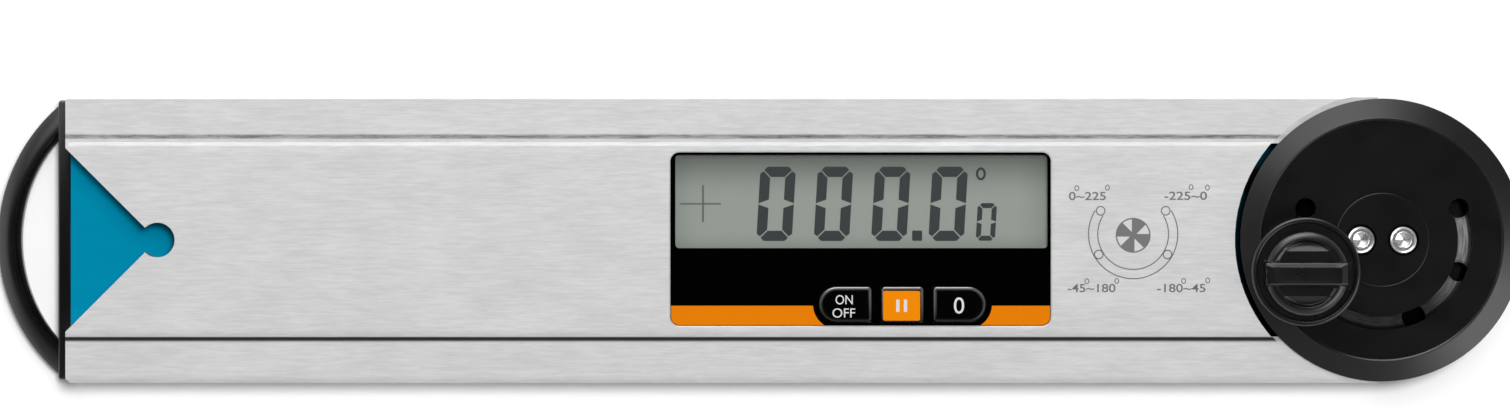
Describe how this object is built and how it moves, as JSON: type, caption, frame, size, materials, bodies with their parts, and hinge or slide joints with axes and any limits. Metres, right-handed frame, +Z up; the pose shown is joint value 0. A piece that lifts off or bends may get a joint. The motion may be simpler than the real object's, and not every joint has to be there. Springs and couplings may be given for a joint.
{
  "type": "digital angle finder",
  "caption": "Two stacked aluminium arms on a lockable hinge, with a screen and buttons that read the angle between them; V-notched end and a grip loop.",
  "frame": {"origin": "on the hinge axis, at the underside of the base arm", "axes": "+Z up along the hinge axis, out of the screen side; both arms point along -X when closed; +Y across the arms, towards the upper edge of the screen"},
  "size_m": [0.3211, 0.06, 0.0376],
  "materials": {
    "brushed_aluminium": "brushed along the arm, satin",
    "cast_metal": "die cast, lightly blasted",
    "steel": "bright turned",
    "bronze": "rolled sheet",
    "blue_plastic": "fine satin",
    "black_plastic": "fine moulded texture",
    "grey_plastic": "fine moulded texture",
    "gloss_black": "polished",
    "orange_plastic": "satin print under a clear coat",
    "clear_window": "clear, polished",
    "screen": "grey-green polariser",
    "circuit": "solder mask",
    "contact_rubber": "soft silicone",
    "dark_film": "flat",
    "nylon": "natural nylon"
  },
  "bodies": {
    "base": {"base_arm": "brushed_aluminium", "blue_inlay": "blue_plastic", "end_cap": "black_plastic", "end_cap_screws": "steel", "base_hub": "cast_metal", "base_hub_screws": "steel", "axle": "steel", "axle_screws": "steel", "thrust_washer": "nylon", "encoder_rotor": "circuit", "hinge_disc": "black_plastic", "pivot_cap": "black_plastic", "disc_screws": "steel", "friction_washer": "bronze"},
    "display": {"display_arm": "brushed_aluminium", "display_hub": "cast_metal", "display_hub_screws": "steel", "encoder_stator": "circuit", "sensor_cable": "dark_film", "notch_block": "black_plastic", "notch_screws": "steel", "rail_plugs": "grey_plastic", "front_plate": "gloss_black", "orange_band": "orange_plastic", "button_surround": "gloss_black", "screen_window": "clear_window", "screen_glass": "screen", "contact_strips": "contact_rubber", "circuit_board": "circuit", "board_screws": "steel", "board_chips": "dark_film", "key_switches": "black_plastic", "module_tray": "black_plastic", "coin_cell": "steel", "battery_contacts": "bronze", "battery_cover": "black_plastic", "cover_screws": "steel"},
    "power": {"power_button": "gloss_black"},
    "hold": {"hold_button": "orange_plastic"},
    "zero": {"zero_button": "gloss_black"},
    "knob": {"lock_knob": "black_plastic", "knob_stud": "steel"}
  },
  "joints": [
    {"name": "arm_hinge", "type": "hinge", "parent": "base", "child": "display", "pos_m": [0, 0, 0.012], "axis": [0, 0, 1], "range_deg": [-45, 180]},
    {"name": "knob_turn", "type": "hinge", "parent": "display", "child": "knob", "pos_m": [-0.01608, -0.00666, 0.0296], "axis": [0, 0, 1], "range_deg": [0, 270]},
    {"name": "power_press", "type": "slide", "parent": "display", "child": "power", "axis": [0, 0, -1], "range_m": [0, 0.0006], "stiffness_N_per_m": 900, "springref_m": -0.0006},
    {"name": "hold_press", "type": "slide", "parent": "display", "child": "hold", "axis": [0, 0, -1], "range_m": [0, 0.0006], "stiffness_N_per_m": 900, "springref_m": -0.0006},
    {"name": "zero_press", "type": "slide", "parent": "display", "child": "zero", "axis": [0, 0, -1], "range_m": [0, 0.0006], "stiffness_N_per_m": 900, "springref_m": -0.0006}
  ]
}
